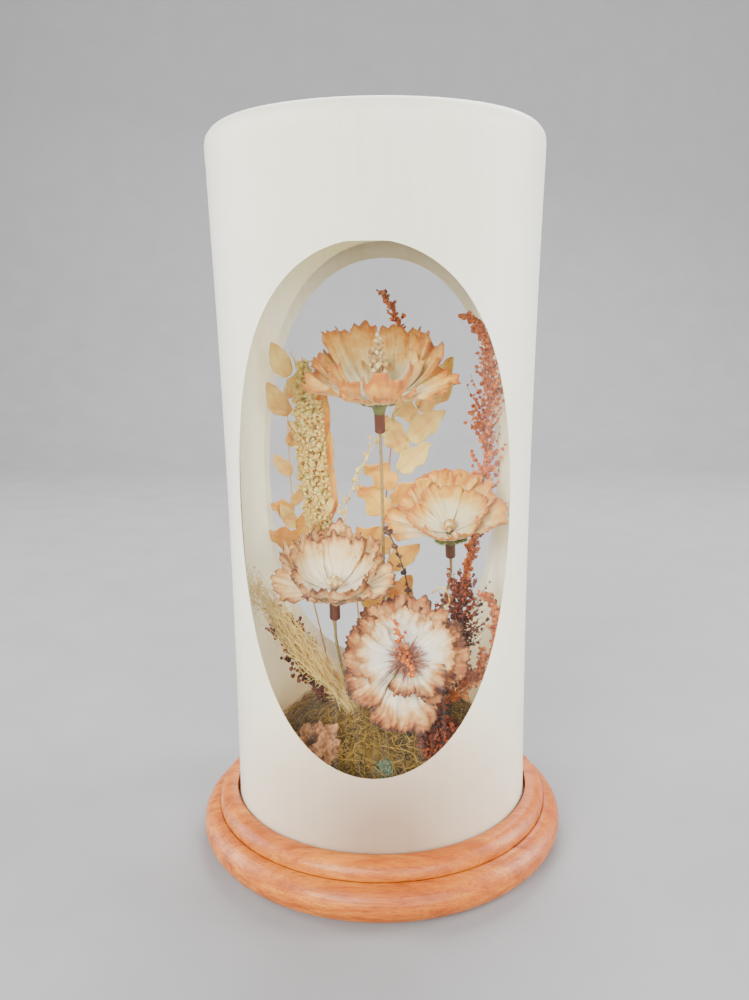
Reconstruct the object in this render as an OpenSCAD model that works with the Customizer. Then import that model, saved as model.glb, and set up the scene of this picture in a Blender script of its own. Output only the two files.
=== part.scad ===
// Frosted glass display dome on a turned wooden base, over silk and dried flowers.
// The origin is on the axis of the dome, at the underside of the base.
// +Z is up, and the dome's front window faces -Y.

/* [Wooden base] */
// Width of the upper tier outside the groove
upper_tier_w = 6.25; // [5:0.05:12]
// How far the lower tier stands out beyond the upper one
lower_tier_w = 5.7; // [4.5:0.1:15]
// Height of the lower tier, a half-round bead
lower_tier_h = 13.2; // [10:0.2:16]
// Height of the top of the base
base_h = 18.6; // [16.5:0.1:24]
// Radius of the rounded edge of the upper tier
upper_round = 4.6; // [3:0.1:4.8]
// Depth of the groove that the glass stands in
groove_depth = 5.2; // [3:0.1:8]
// Free space between the glass and each wall of its groove
groove_gap = 0.9; // [0.4:0.1:1.5]

/* [Felt pad] */
// Thickness of the felt
felt_t = 1.2; // [0.8:0.1:2]
// How far the felt stands out of its recess
felt_proud = 0.3; // [0.2:0.1:0.6]
// Width of the wooden margin around the felt
felt_margin = 9; // [8:0.5:20]
// Free space between the felt and the wall of its recess
felt_gap = 0.2; // [0.1:0.1:0.5]

/* [Glass dome] */
// Diameter of the glass at its narrowest
waist_d = 100.6; // [82:0.2:140]
// Height of the narrowest place above the rim
waist_h = 55; // [30:1:80]
// How much wider the glass is at its shoulder than at its narrowest
flare = 6.2; // [0:0.1:12]
// Height of the glass from rim to crown
glass_h = 226; // [185:1:275]
// Thickness of the glass
glass_t = 2.5; // [1.8:0.1:4]
// Outer radius of the shoulder
shoulder_r = 6.5; // [4.5:0.1:9]

/* [Moss bed] */
// Diameter of the florist's foam
foam_d = 48; // [40:1:54]
// Height of the florist's foam
foam_h = 23; // [16:1:27]
// Height of the moss over its foam
moss_h = 9; // [7:1:17]
// Free space between the moss and the glass
moss_gap = 4.5; // [2:0.1:6]

/* [Silk flowers] */
// Radius of the top flower's outer petals
top_flower_r = 24; // [18:0.5:29]
// Radius of the right flower's outer petals
right_flower_r = 19; // [15:0.5:20]
// Radius of the left flower's outer petals
left_flower_r = 21; // [16:0.5:22]
// Radius of the front flower's outer petals
front_flower_r = 19; // [15:0.5:20]
// Radius of every inner layer of petals
inner_petal_r = 13.5; // [10:0.5:16]
// Height that the outer petals rise from hub to edge
petal_rise = 7; // [5:0.5:9]
// Thickness of a layer of petals
petal_t = 0.8; // [0.6:0.1:1.2]
// Diameter of the stem wires
wire_d = 1.1; // [0.8:0.1:1.6]
// Free space between a wire and what is threaded on it
wire_gap = 0.05; // [0.03:0.01:0.1]
// Outer diameter of the sleeve under each flower
sleeve_d = 3.6; // [3:0.1:4.6]
// Length of the sleeve under each flower
sleeve_l = 7; // [5:0.5:9]

/* [Dried plants] */
// Free space between the plants and the glass
plant_gap = 1.8; // [1:0.1:3]
// Thickness of the plants' bare stems
stem_d = 1.2; // [0.8:0.1:1.8]

/* [Hidden] */
$fn = 96;
bead_r = (lower_tier_h - felt_proud) / 2;
bead_end = 80;
incision = 0.9;
upper_start = -10;
arc_steps = 16;

rim_z = base_h - groove_depth;
crown_z = rim_z + glass_h;
wall_top_z = crown_z - shoulder_r;
waist_z = rim_z + waist_h;
top_r = (waist_d + flare) / 2;
rim_r = glass_r(rim_z);
rim_round = 0.6;
wall_steps = 14;
groove_out_r = rim_r + groove_gap;
groove_in_r = rim_r - glass_t - groove_gap;
step_r = groove_out_r + upper_tier_w;
base_r = step_r + lower_tier_w;
felt_r = base_r - felt_margin;

inner_waist_r = waist_d / 2 - glass_t;
moss_r = inner_waist_r - moss_gap;
moss_top = foam_h + moss_h;
moss_steps = 14;

// Plants are placed on a plan for this clear radius and height, and spread with the dome
plan_r = 46;
plan_h = 218;
spread = (inner_waist_r - plant_gap) / plan_r;
stretch = (crown_z - glass_t - base_h) / plan_h;

hub_r = 3;
calyx_l = 4.5;
calyx_foot_r = 1.9;
centre_r = 2.6;
centre_h = 4.5;
wire_end = 2 * petal_t + 2;
wire_r = wire_d / 2;
bore_r = wire_r + wire_gap;
petal_steps = 8;
straight_wire = 17;

// Each flower: head on the plan, lean from upright, heading of the lean, foot on the plan
TOP = [[0.5, -1, 135], 18, -92, [1.5, 4, 10]];
RIGHT = [[24.5, 9, 87.5], 30, -95, [11, 9, 10]];
LEFT = [[-14.3, -15, 73.5], 20, -85, [-8, -4, 10]];
FRONT = [[9.5, -21, 52], 70, -88, [6, -2, 10]];

// Dried plants: points on the plan, each with the radius of the growth around it
spike = [[-10, 5, 10, 0], [-17, 10, 52, 0], [-21, 11, 80, 2.6], [-23.5, 10, 112, 3.4],
    [-25, 9, 135, 3], [-26, 8, 149, 0.8]];
left_leaves = [[-13, 8, 10, 0], [-25, 15, 60, 0], [-31, 16, 90, 2.4], [-32.5, 15, 117, 3.2],
    [-32, 13, 142, 1]];
right_leaves = [[4, 10, 10, 0], [4, 13, 42, 2.2], [3, 15, 72, 2.2], [4, 17, 97, 3], [11, 16, 124, 3.6],
    [16, 14, 137, 1]];
pale_sprig = [[-4, 10, 10, 0], [-9, 9, 66, 0], [-12, 7, 94, 1.4], [-7.5, 8, 108, 1],
    [0, 10, 122, 1.3], [8, 10, 132, 0.6]];
top_sprig = [[2, 13, 10, 0], [0, 23, 72, 0], [4, 27, 120, 0], [8, 27, 147, 1.4],
    [7, 25, 158, 1.8], [1, 23, 171, 0.8]];
right_sprig = [[14, 11, 10, 0], [28, 24, 52, 0.6], [35, 24, 92, 1.6], [38, 21, 124, 2],
    [39, 18, 146, 1.4], [36, 16, 157, 1.2], [28.5, 14, 163, 0.7]];
low_sprig = [[12, -8, 10, 0], [21, -13, 32, 1.2], [32, -17, 44, 2], [38.5, -17, 56, 1.8],
    [40, -15, 66, 1.2], [35, -15, 73, 0.7]];
left_sprig = [[-12, 3, 10, 0], [-20, 1, 30, 1.6], [-29, -1, 47, 2.4], [-37, -3, 63, 1]];
dark_head = [[15, 3, 10, 0], [22, 0, 34, 2], [26, -2, 52, 4.4], [28, -1, 66, 3], [29, 0, 73, 1]];
twig = [[9, 5, 10, 0], [10, 3, 50, 0], [10, -1, 69, 0.7], [7, -3.5, 82, 0.8], [3, -4.5, 92, 0.5]];
straw = [[-2, -10, 12, 0.8], [-10, -13, 33, 1.8], [-24, -16, 52, 2.4], [-37, -17, 71, 1.6]];
tendril = [[9, -3, 10, 0], [15, -6, 44, 0], [20, -8, 61, 0], [24, -9, 68, 0],
    [22, -9.5, 73, 0], [18, -9, 71, 0]];
path_steps = 3;
tube_sides = 8;

// Lumps on the moss: centre on the plan, radius, height, lean, heading
BARK = [[-20, -25.5, 22.5], 6.2, 13, 62, 160];
LICHEN = [[3, -33, 18.5], 3.2, 5, 30, -90];
SEEDS = [[22, -24, 20.5], 8, 9, 35, -60];
lump_steps = 12;

// Points along an arc
function arc(c, r, from, to, n = arc_steps) =
    [for (i = [0:n]) let (a = from + (to - from) * i / n) c + r * [cos(a), sin(a)]];

// Outer radius of the glass wall, which widens as the square of the height from its waist
function glass_r(z) =
    waist_d / 2 + (top_r - waist_d / 2) * pow((z - waist_z) / (wall_top_z - waist_z), 2);

// A point of the plan, in the dome
function spot(p) = [p.x * spread, p.y * spread, base_h + p.z * stretch];

// Direction of something that leans from upright towards a heading
function leaning(lean, heading) =
    [sin(lean) * cos(heading), sin(lean) * sin(heading), cos(lean)];

function unit(v) = v / norm(v);

// A smooth curve through the points of a list, between point i and the next
function curve(p, i, t) =
    let (a = p[max(i - 1, 0)], b = p[i], c = p[i + 1], d = p[min(i + 2, len(p) - 1)])
    0.5 * (2 * b + (c - a) * t + (2 * a - 5 * b + 4 * c - d) * t * t
        + (3 * b - a - 3 * c + d) * t * t * t);

function smooth(p, n = path_steps) =
    [for (i = [0:len(p) - 2]) for (s = [0:n - 1]) curve(p, i, s / n), p[len(p) - 1]];

// A closed tube along a list of points, with a radius at each
module tube(points, radii, side = [0.2, 1, 0.1]) {
    last = len(points) - 1;
    ring = [for (i = [0:last])
        let (t = unit(points[min(i + 1, last)] - points[max(i - 1, 0)]),
            u = unit(cross(t, side)), v = cross(t, u))
        for (k = [0:tube_sides - 1])
            points[i] + radii[i] * (cos(360 * k / tube_sides) * u + sin(360 * k / tube_sides) * v)];
    walls = [for (i = [0:last - 1]) for (k = [0:tube_sides - 1])
        let (a = i * tube_sides + k, b = i * tube_sides + (k + 1) % tube_sides)
        [a, b, b + tube_sides, a + tube_sides]];
    foot = [for (k = [tube_sides - 1:-1:0]) k];
    tip = [for (k = [0:tube_sides - 1]) last * tube_sides + k];
    polyhedron(concat(ring), concat(walls, [foot, tip]));
}

// A dried stem with its growth around it
module plant(plan) {
    placed = [for (q = plan) spot(q)];
    growth = smooth([for (q = plan) q[3]]);
    tube(smooth(placed), [for (g = growth) max(g, stem_d / 2)]);
}

// A rounded lump of revolution, wider than it is high
module lump(place) {
    half = place[2] / 2;
    translate(spot(place[0])) rotate([0, place[3], place[4]])
        rotate_extrude()
            polygon([for (i = [0:lump_steps])
                let (a = -90 + 180 * i / lump_steps)
                [max(place[1] * cos(a), 0), half * sin(a)]]);
}

module at_head(flower) {
    translate(spot(flower[0])) rotate([0, flower[1], flower[2]]) children();
}

// A round cup of petals: a flat hub, then petals that curve up to their edge
module petals(foot_z, edge_r, edge_z, bend) {
    under = [for (i = [0:petal_steps]) let (s = i / petal_steps)
        [hub_r + (edge_r - hub_r) * s, foot_z + (edge_z - foot_z) * pow(s, bend)]];
    over = [for (i = [petal_steps:-1:0]) under[i] + [0, petal_t]];
    rotate_extrude()
        polygon(concat([[bore_r, foot_z]], under, over, [[bore_r, foot_z + petal_t]]));
}

module outer_petals(flower, edge_r) {
    color("bisque") at_head(flower) petals(0, edge_r, petal_rise, 1.5);
}

module inner_petals(flower) {
    color("antiquewhite") at_head(flower)
        petals(petal_t, inner_petal_r, petal_t + petal_rise, 1.25);
}

// The flower's centre, with a blind hole for the end of the wire
module flower_centre(flower) {
    foot_z = 2 * petal_t;
    color("khaki") at_head(flower) difference() {
        translate([0, 0, foot_z]) rotate_extrude()
            polygon(concat([[0, 0], [centre_r * 0.7, 0]],
                arc([0, centre_h - centre_r], centre_r, 0, 90, 8)));
        translate([0, 0, foot_z - 1]) cylinder(r = bore_r, h = wire_end - foot_z + 1 + wire_gap);
    }
}

module calyx(flower) {
    color("olivedrab") at_head(flower)
        rotate_extrude()
            polygon([[bore_r, -calyx_l], [calyx_foot_r, -calyx_l], [hub_r * 0.8, -calyx_l / 2],
                [hub_r, 0], [bore_r, 0]]);
}

module sleeve(flower) {
    color("saddlebrown") at_head(flower)
        translate([0, 0, -calyx_l - sleeve_l]) difference() {
            cylinder(d = sleeve_d, h = sleeve_l);
            translate([0, 0, -1]) cylinder(r = bore_r, h = sleeve_l + 2);
        }
}

// The wire bends from its foot in the foam into the flower's own axis
module stem(flower, side) {
    axis = leaning(flower[1], flower[2]);
    head = spot(flower[0]);
    foot = spot(flower[3]);
    joint = head - straight_wire * axis;
    reach = norm(joint - foot) / 2;
    start = foot + reach * [0, 0, 0.8];
    turn = joint - reach * 0.5 * axis;
    bend = [for (i = [0:12]) let (t = i / 12, s = 1 - t)
        s * s * s * foot + 3 * s * s * t * start + 3 * s * t * t * turn + t * t * t * joint];
    points = concat(bend, [head + wire_end * axis]);
    color("darkkhaki") tube(points, [for (p = points) wire_r], side);
}

module wood_base() {
    color("peru") rotate_extrude()
        polygon(concat(
            [[0, felt_t], [felt_r + felt_gap, felt_t], [felt_r + felt_gap, felt_proud]],
            arc([base_r - bead_r, felt_proud + bead_r], bead_r, -90, bead_end),
            [[step_r - incision, lower_tier_h - incision / 2]],
            arc([step_r - upper_round, base_h - upper_round], upper_round, upper_start, 90),
            [[groove_out_r, base_h], [groove_out_r, rim_z], [groove_in_r, rim_z],
                [groove_in_r, base_h], [0, base_h]]));
}

module base_felt() {
    color("darkolivegreen") cylinder(r = felt_r, h = felt_t);
}

module glass_dome() {
    outside = [for (i = [0:wall_steps])
        let (z = rim_z + rim_round + (wall_top_z - rim_z - rim_round) * i / wall_steps)
        [glass_r(z), z]];
    inside = [for (i = [wall_steps:-1:0]) outside[i] - [glass_t, 0]];
    color("whitesmoke", 0.6) rotate_extrude()
        polygon(concat(
            [[rim_r - glass_t + rim_round, rim_z], [rim_r - rim_round, rim_z]],
            outside,
            arc([top_r - shoulder_r, wall_top_z], shoulder_r, 0, 90, 10),
            [[0, crown_z], [0, crown_z - glass_t]],
            arc([top_r - shoulder_r, wall_top_z], shoulder_r - glass_t, 90, 0, 8),
            inside));
}

module foam_block() {
    color("darkseagreen") translate([0, 0, base_h]) cylinder(d = foam_d, h = foam_h);
}

module moss_mound() {
    color("olive") difference() {
        translate([0, 0, base_h]) rotate_extrude()
            polygon(concat([[0, 0]],
                [for (i = [0:moss_steps]) let (a = 90 * i / moss_steps)
                    [moss_r * cos(a), moss_top * sin(a)]]));
        translate([0, 0, base_h - 1]) cylinder(d = foam_d, h = foam_h + 1);
    }
}

// A sprig laid over the front flower's centre, in the flower's own directions
module tucked_seed_sprig() {
    sprig_r = 1.1;
    lift = 2 * petal_t + centre_h + sprig_r + 0.3;
    points = [[5, 2.5, lift + 0.8], [0, 0, lift], [-6.5, -1.8, lift + 1.6], [-12.5, -3.6, lift + 4]];
    color("sienna") at_head(FRONT)
        tube(smooth(points), [for (s = smooth([0.5, sprig_r, sprig_r, 0.5])) s]);
}

module bark_piece() { color("rosybrown") lump(BARK); }
module lichen_tuft() { color("cadetblue") lump(LICHEN); }
module seed_cluster() { color("maroon") lump(SEEDS); }

module top_flower_outer_petals() { outer_petals(TOP, top_flower_r); }
module top_flower_inner_petals() { inner_petals(TOP); }
module top_flower_centre() { flower_centre(TOP); }
module top_flower_calyx() { calyx(TOP); }
module top_flower_sleeve() { sleeve(TOP); }
module top_flower_stem() { stem(TOP, [1, 0, 0]); }

module right_flower_outer_petals() { outer_petals(RIGHT, right_flower_r); }
module right_flower_inner_petals() { inner_petals(RIGHT); }
module right_flower_centre() { flower_centre(RIGHT); }
module right_flower_calyx() { calyx(RIGHT); }
module right_flower_sleeve() { sleeve(RIGHT); }
module right_flower_stem() { stem(RIGHT, [0.5, -1, 0]); }

module left_flower_outer_petals() { outer_petals(LEFT, left_flower_r); }
module left_flower_inner_petals() { inner_petals(LEFT); }
module left_flower_centre() { flower_centre(LEFT); }
module left_flower_calyx() { calyx(LEFT); }
module left_flower_sleeve() { sleeve(LEFT); }
module left_flower_stem() { stem(LEFT, [1, 0, 0]); }

module front_flower_outer_petals() { outer_petals(FRONT, front_flower_r); }
module front_flower_inner_petals() { inner_petals(FRONT); }
module front_flower_centre() { flower_centre(FRONT); }
module front_flower_calyx() { calyx(FRONT); }
module front_flower_sleeve() { sleeve(FRONT); }
module front_flower_stem() { stem(FRONT, [1, 0, 0]); }

module blossom_spike() { color("khaki") plant(spike); }
module left_leaf_spray() { color("wheat") plant(left_leaves); }
module right_leaf_spray() { color("goldenrod") plant(right_leaves); }
module pale_bud_sprig() { color("palegoldenrod") plant(pale_sprig); }
module top_seed_sprig() { color("sienna") plant(top_sprig); }
module right_seed_sprig() { color("sienna") plant(right_sprig); }
module low_seed_sprig() { color("sienna") plant(low_sprig); }
module left_seed_sprig() { color("sienna") plant(left_sprig); }
module dark_seed_head() { color("brown") plant(dark_head); }
module budded_twig() { color("saddlebrown") plant(twig); }
module straw_bundle() { color("burlywood") plant(straw); }
module curled_tendril() { color("tan") plant(tendril); }

wood_base();
base_felt();
glass_dome();
foam_block();
moss_mound();
bark_piece();
lichen_tuft();
seed_cluster();
top_flower_outer_petals();
top_flower_inner_petals();
top_flower_centre();
top_flower_calyx();
top_flower_sleeve();
top_flower_stem();
right_flower_outer_petals();
right_flower_inner_petals();
right_flower_centre();
right_flower_calyx();
right_flower_sleeve();
right_flower_stem();
left_flower_outer_petals();
left_flower_inner_petals();
left_flower_centre();
left_flower_calyx();
left_flower_sleeve();
left_flower_stem();
front_flower_outer_petals();
front_flower_inner_petals();
front_flower_centre();
front_flower_calyx();
front_flower_sleeve();
front_flower_stem();
blossom_spike();
left_leaf_spray();
right_leaf_spray();
pale_bud_sprig();
top_seed_sprig();
right_seed_sprig();
low_seed_sprig();
left_seed_sprig();
dark_seed_head();
budded_twig();
straw_bundle();
curled_tendril();
tucked_seed_sprig();
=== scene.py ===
"""Looks of a frosted glass display dome on a turned wooden base, over silk and dried flowers.

Lengths are in millimetres until a mesh is made, which is in metres like the frame.
"""
import math

import bmesh
import bpy
import numpy as np
from mathutils import Matrix, Vector, noise
from numpy.random import default_rng


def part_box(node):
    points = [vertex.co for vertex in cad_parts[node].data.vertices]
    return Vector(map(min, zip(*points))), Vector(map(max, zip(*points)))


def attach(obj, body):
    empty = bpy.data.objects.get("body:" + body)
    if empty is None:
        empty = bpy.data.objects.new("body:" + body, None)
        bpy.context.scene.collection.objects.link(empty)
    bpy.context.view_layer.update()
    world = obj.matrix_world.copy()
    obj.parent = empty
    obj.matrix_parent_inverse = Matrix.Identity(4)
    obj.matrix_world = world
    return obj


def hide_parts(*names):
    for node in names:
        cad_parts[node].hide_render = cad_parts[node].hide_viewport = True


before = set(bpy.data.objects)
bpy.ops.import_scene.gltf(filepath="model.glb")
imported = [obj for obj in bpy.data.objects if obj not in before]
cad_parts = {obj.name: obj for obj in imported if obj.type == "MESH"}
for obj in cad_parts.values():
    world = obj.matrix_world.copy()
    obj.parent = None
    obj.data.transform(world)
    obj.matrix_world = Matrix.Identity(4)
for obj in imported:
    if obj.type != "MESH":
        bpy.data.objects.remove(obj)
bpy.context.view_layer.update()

MM = 0.001
TAU = 2 * math.pi


# -------- vectors and curves

def unit(v):
    v = np.asarray(v, float)
    return v / np.maximum(np.linalg.norm(v, axis=-1, keepdims=True), 1e-12)


def lengths_along(points):
    return np.concatenate([[0], np.cumsum(np.linalg.norm(np.diff(points, axis=0), axis=1))])


def smooth_path(points, count):
    """A Catmull-Rom curve through the points, resampled to count even steps."""
    p = np.asarray(points, float)
    p = np.vstack([2 * p[0] - p[1], p, 2 * p[-1] - p[-2]])
    t = np.linspace(0, 1, 12, endpoint=False)[:, None]
    parts = []
    for a, b, c, d in zip(p[:-3], p[1:-2], p[2:-1], p[3:], strict=True):
        parts.append(0.5 * (2 * b + (c - a) * t + (2 * a - 5 * b + 4 * c - d) * t**2
                            + (3 * b - a - 3 * c + d) * t**3))
    dense = np.vstack([*parts, p[-2][None]])
    along = lengths_along(dense)
    even = np.linspace(0, along[-1], count)
    return np.stack([np.interp(even, along, dense[:, k]) for k in range(3)], axis=1)


def frames_along(points):
    """Tangent and two normals at each point, turned as little as possible from one to the next."""
    tangents = unit(np.gradient(points, axis=0))
    side = np.array([1.0, 0.2, 0.1]) if abs(tangents[0][0]) < 0.8 else np.array([0.1, 1.0, 0.2])
    normals = []
    for t in tangents:
        side = unit(side - np.dot(side, t) * t)
        normals.append(side)
    normals = np.array(normals)
    return tangents, normals, np.cross(tangents, normals)


def around(r, turn, z):
    """Points at radius r and height z, each turned about the Z axis."""
    return np.stack(np.broadcast_arrays(r * np.cos(turn), r * np.sin(turn), z), axis=-1)


def compass(degrees, rise=0.0):
    """A direction at an angle from +X, with a rise."""
    return np.array([math.cos(math.radians(degrees)), math.sin(math.radians(degrees)), rise])


def random_turns(rng, count):
    """Random rotation matrices."""
    w, x, y, z = unit(rng.normal(size=(count, 4))).T
    rows = [[1 - 2 * (y * y + z * z), 2 * (x * y - w * z), 2 * (x * z + w * y)],
            [2 * (x * y + w * z), 1 - 2 * (x * x + z * z), 2 * (y * z - w * x)],
            [2 * (x * z - w * y), 2 * (y * z + w * x), 1 - 2 * (x * x + y * y)]]
    return np.moveaxis(np.array(rows), 2, 0)


def wobble(rng, t, waves=4, lowest=1.0):
    """A smooth random curve of t, about -1 to 1."""
    total = np.zeros_like(t)
    for k in range(waves):
        total = total + rng.normal() / (k + 1) * np.sin(TAU * (lowest * (k + 1) * t + rng.random()))
    return total / 1.6


def steps(count):
    """A column of even steps from 0 to 1."""
    return np.linspace(0, 1, count)[:, None]


def wander(rng, t, waves, lowest):
    """A wobble in each of three directions, from a column t."""
    return np.concatenate([wobble(rng, t, waves, lowest) for _ in range(3)], axis=1)


# -------- meshes

def linked(name, data):
    """A new object with this data, in the scene."""
    obj = bpy.data.objects.new(name, data)
    bpy.context.scene.collection.objects.link(obj)
    return obj


def grid_faces(rows, cols, closed_u=False):
    """Quads over a grid of points, which may close on itself along its rows."""
    i, j = np.meshgrid(np.arange(rows - 1), np.arange(cols if closed_u else cols - 1), indexing="ij")
    i, j, k = i * cols, j, (j + 1) % cols
    return np.stack([i + j, i + k, i + cols + k, i + cols + j], axis=-1).reshape(-1, 4)


def ball(divisions):
    """Vertices and faces of a sphere of radius 1."""
    bm = bmesh.new()
    bmesh.ops.create_icosphere(bm, subdivisions=divisions, radius=1)
    verts = np.array([v.co[:] for v in bm.verts])
    faces = np.array([[v.index for v in f.verts] for f in bm.faces])
    bm.free()
    return verts, faces


BALL, BALL_FINE, BALL_FINEST = ball(1), ball(2), ball(6)


class Form:
    """Vertices in millimetres, faces, and two values at each vertex that the materials read."""

    def __init__(self):
        self.verts, self.faces, self.shade, self.grain, self.parts = [], [], [], [], []
        self.count = 0
        self.part = 0            # index of the material that added faces take

    def add(self, verts, faces, shade=0.0, grain=0.0):
        verts = np.asarray(verts, float)
        n = len(verts)
        self.verts.append(verts)
        self.shade.append(np.broadcast_to(shade, (n,)))
        self.grain.append(np.broadcast_to(grain, (n,)))
        self.faces += (np.asarray(faces) + self.count).tolist()
        self.parts += [self.part] * len(faces)
        self.count += n

    def grid(self, points, closed_u=False, shade=0.0):
        rows, cols = points.shape[:2]
        self.add(points.reshape(-1, 3), grid_faces(rows, cols, closed_u),
                 np.broadcast_to(shade, (rows, cols)).ravel())

    def tube(self, points, radii, sides=6, shade=0.0):
        """A closed tube along the points, with a radius at each."""
        n = len(points)
        radii = np.broadcast_to(radii, (n,))
        u, v = frames_along(points)[1:]
        turn = (np.arange(sides) * TAU / sides)[None, :, None]
        outward = np.cos(turn) * u[:, None] + np.sin(turn) * v[:, None]
        self.grid(points[:, None] + radii[:, None, None] * outward, True,
                  np.broadcast_to(shade, (n,))[:, None])
        first = self.count - n * sides
        for start, order in ((first, -1), (first + (n - 1) * sides, 1)):
            self.faces.append([start + k for k in range(sides)][::order])
            self.parts.append(self.part)

    def blobs(self, centres, sizes, turns, rng, rough=0.15, fine=False, shade=0.0):
        """Small uneven rounded lumps, such as seeds and buds."""
        base, faces = BALL_FINE if fine else BALL
        centres = np.asarray(centres, float)
        count = len(centres)
        sizes = np.asarray(sizes, float)
        sizes = sizes[:, None] * np.ones(3) if sizes.ndim == 1 else sizes
        lumps = base[None] * (1 + rough * rng.normal(size=(count, len(base), 1)))
        lumps = np.einsum("nij,nkj->nki", turns, lumps * sizes[:, None]) + centres[:, None]
        each = np.arange(count)[:, None, None] * len(base)
        self.add(lumps.reshape(-1, 3), (faces[None] + each).reshape(-1, 3),
                 np.repeat(np.broadcast_to(shade, (count,)), len(base)))

    def sheet(self, points, thickness, shade, grain=0.0):
        """A thin closed leaf or petal from one grid of points."""
        along, across = np.gradient(points, axis=0), np.gradient(points, axis=1)
        normal = unit(np.cross(along, across))
        rows, cols = points.shape[:2]
        size = rows * cols
        faces = grid_faces(rows, cols)
        order = np.arange(size).reshape(rows, cols)
        rim = np.concatenate([order[0], order[1:, -1], order[-1, -2::-1], order[-2:0:-1, 0]])
        after = np.roll(rim, -1)
        faces = np.vstack([faces, faces[:, ::-1] + size,
                           np.stack([after, rim, rim + size, after + size], axis=1)])
        verts = np.stack([points + normal * thickness / 2, points - normal * thickness / 2])
        shade, grain = (np.tile(np.broadcast_to(v, (rows, cols)).ravel(), 2) for v in (shade, grain))
        self.add(verts.reshape(-1, 3), faces, shade, grain)

    def piece(self, name, look, node, body="base", weld=0.0):
        """Makes the object, hides the frame's node that it stands for, and hangs it on the body it rides
        on.
        """
        verts = np.vstack(self.verts)
        if body == "base":
            verts = kept_off_glass(verts)
        mesh = bpy.data.meshes.new(name)
        mesh.from_pydata((verts * MM).tolist(), [], self.faces)
        for label, values in (("shade", self.shade), ("grain", self.grain)):
            attribute = mesh.attributes.new(label, "FLOAT", "POINT")
            attribute.data.foreach_set("value", np.concatenate(values).astype(np.float32))
        mesh.polygons.foreach_set("material_index", self.parts)
        if weld:
            bm = bmesh.new()
            bm.from_mesh(mesh)
            bmesh.ops.remove_doubles(bm, verts=bm.verts, dist=weld * MM)
            bmesh.ops.recalc_face_normals(bm, faces=bm.faces)
            bm.to_mesh(mesh)
            bm.free()
        mesh.shade_smooth()
        for m in look if isinstance(look, list) else [look]:
            mesh.materials.append(LOOKS[m])
        obj = linked(name, mesh)
        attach(obj, body)
        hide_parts(node)


# -------- reading the frame

RING = 8                 # vertices in each ring of the frame's rods


def node_verts(node):
    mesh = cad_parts[node].data
    co = np.empty(len(mesh.vertices) * 3)
    mesh.vertices.foreach_get("co", co)
    return co.reshape(-1, 3) / MM


def spine(node):
    """The middle of each ring of a rod of the frame, from its foot to its tip, and its radius there."""
    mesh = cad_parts[node].data
    co, same = np.unique(np.round(node_verts(node), 3), axis=0, return_inverse=True)
    edges = np.empty(len(mesh.edges) * 2, int)
    mesh.edges.foreach_get("vertices", edges)
    edges = same.ravel()[edges.reshape(-1, 2)]
    main = np.linalg.svd(co - co.mean(0), full_matrices=False)[2][0]
    main = main * np.sign(main[2])
    level = np.full(len(co), -1)
    level[np.argsort(co @ main)[:RING]] = 0
    for k in range(len(co)):
        reached = edges[(level[edges] == k).any(axis=1)].ravel()
        fresh = reached[level[reached] < 0]
        if not len(fresh):
            break
        level[fresh] = k + 1
    rings = [co[level == k] for k in range(level.max() + 1)]
    middles = np.array([r.mean(0) for r in rings])
    return middles, np.array([np.linalg.norm(r - m, axis=1).mean()
                              for r, m in zip(rings, middles, strict=True)])


def resampled(node, count=150):
    """A rod's middle line and radius at even steps."""
    middles, girths = spine(node)
    along = lengths_along(middles)
    return smooth_path(middles, count), np.interp(np.linspace(0, along[-1], count), along, girths)


def box_mm(node):
    low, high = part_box(node)
    return np.array(low) / MM, np.array(high) / MM


def read_glass():
    """Rim and crown height, top of the wall, thickness, and outer radius as a curve of height."""
    co = node_verts("glass_dome")
    reach = np.hypot(co[:, 0], co[:, 1])
    wall_top = co[np.argmax(reach), 2]
    at_top = reach[np.abs(co[:, 2] - wall_top) < 0.05]
    outside = (reach > at_top.min() - 2) & (co[:, 2] <= wall_top + 0.01)
    outside &= co[:, 2] > co[:, 2].min() + 0.3
    levels = np.unique(np.round(co[outside, 2], 2))
    widths = [reach[np.abs(co[:, 2] - z) < 0.02].max() for z in levels]
    return co[:, 2].min(), co[:, 2].max(), wall_top, np.ptp(at_top), np.polyfit(levels, widths, 2)


RIM_Z, CROWN_Z, WALL_TOP_Z, GLASS_T, GLASS_CURVE = read_glass()
BASE_TOP_Z = box_mm("foam_block")[0][2]
CLEAR_OF_GLASS = 0.8


def kept_off_glass(verts):
    """Growth inside the dome, pushed in where it would touch the glass."""
    limit = np.polyval(GLASS_CURVE, verts[:, 2]) - GLASS_T - CLEAR_OF_GLASS
    reach = np.hypot(verts[:, 0], verts[:, 1])
    inside = verts[:, 2] > BASE_TOP_Z - 0.5
    scale = np.where(inside, np.minimum(1, limit / np.maximum(reach, 1e-6)), 1)
    return verts * np.stack([scale, scale, np.ones_like(scale)], axis=1)


# -------- materials

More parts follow.
